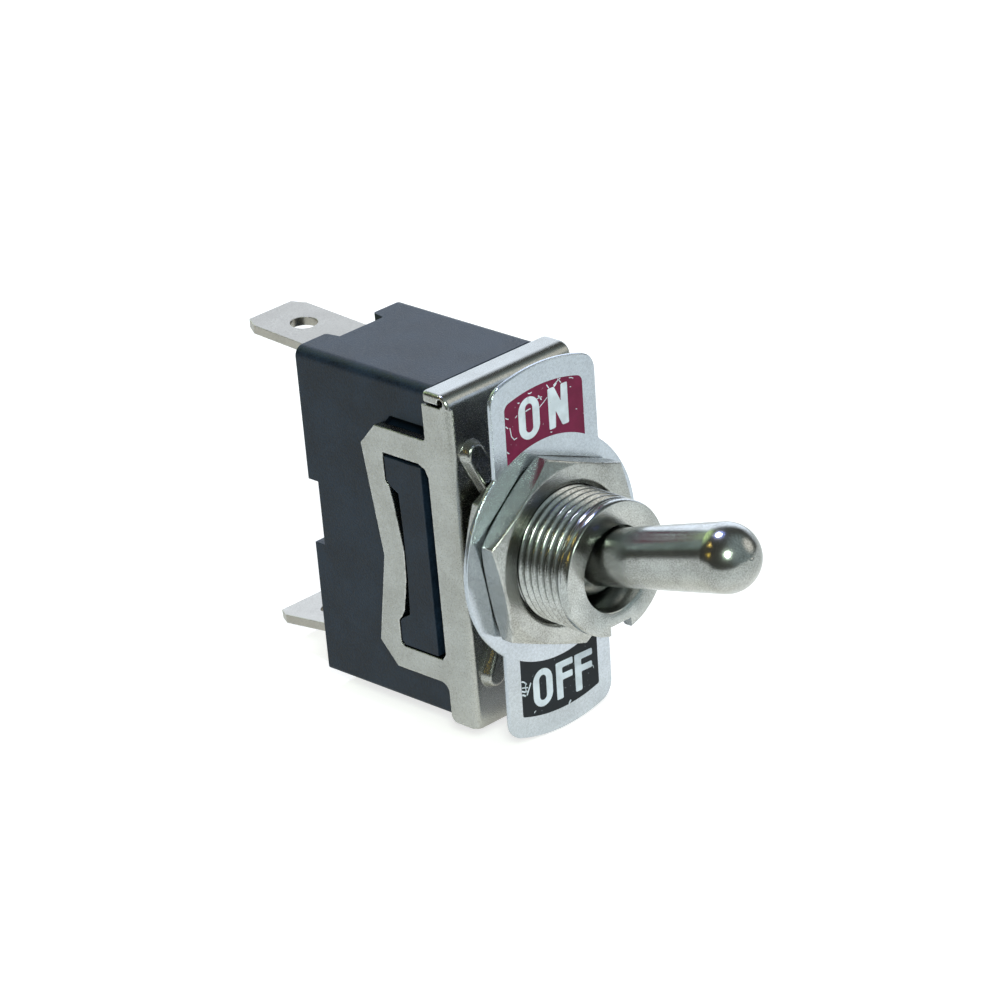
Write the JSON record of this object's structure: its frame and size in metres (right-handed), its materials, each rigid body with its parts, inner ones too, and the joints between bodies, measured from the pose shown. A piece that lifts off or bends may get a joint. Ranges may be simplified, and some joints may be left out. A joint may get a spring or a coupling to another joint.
{
  "type": "panel toggle switch",
  "caption": "Panel toggle switch with a bat lever, threaded bushing and nuts, an ON-OFF indicator plate, a folded bracket, a moulded case and blade terminals.",
  "frame": {"origin": "on the bushing axis, at the front face of the bracket that the bushing stands on", "axes": "-Y along the bushing towards the lever, +Y back to the blades, +Z towards the ON side, X across the switch"},
  "size_m": [0.0202, 0.0569, 0.0336],
  "materials": {
    "black_phenolic": "moulded, slightly glossy, fine grain",
    "satin_nickel_steel": "nickel plate over rolled sheet, satin",
    "fibre_card": "pressed fibre, matt",
    "bright_nickel": "bright nickel plate",
    "zinc_steel": "zinc plate",
    "satin_aluminium": "satin anodised",
    "polished_nickel": "polished nickel plate",
    "white_acetal": "moulded acetal",
    "plain_brass": "rolled sheet",
    "silver_contact": "silver face",
    "tinned_brass": "bright tin over sheet"
  },
  "bodies": {
    "body": {"case": "black_phenolic", "bracket": "satin_nickel_steel", "insulator_card": "fibre_card", "bushing": "bright_nickel", "rear_nut": "bright_nickel", "lock_washer": "zinc_steel", "indicator_plate": "satin_aluminium", "front_nut": "bright_nickel", "pivot_pin": "zinc_steel", "fixed_contact": "silver_contact", "common_terminal": "tinned_brass", "switched_terminal": "tinned_brass", "rocker_saddle": "plain_brass", "saddle_rivet": "plain_brass"},
    "lever": {"lever": "polished_nickel", "toggle_spring": "zinc_steel"},
    "plunger": {"plunger": "white_acetal"},
    "rocker": {"rocker": "plain_brass", "moving_contact": "silver_contact"}
  },
  "joints": [
    {"name": "lever_tilt", "type": "hinge", "parent": "body", "child": "lever", "pos_m": [0, -0.007, 0], "axis": [1, 0, 0], "range_deg": [0, 29.4]},
    {"name": "rocker_tilt", "type": "hinge", "parent": "body", "child": "rocker", "pos_m": [0, 0.011, 0], "axis": [1, 0, 0], "range_deg": [-16, 0]},
    {"name": "plunger_slide", "type": "slide", "parent": "lever", "child": "plunger", "axis": [0, -0.9673, 0.2538], "range_m": [0, 0.0008], "stiffness_N_per_m": 600, "springref_m": -0.003, "deforming": ["toggle_spring"]}
  ],
  "couplings": [
    {"joint": "rocker_tilt", "follows": "lever_tilt", "ratio": -0.544}
  ]
}
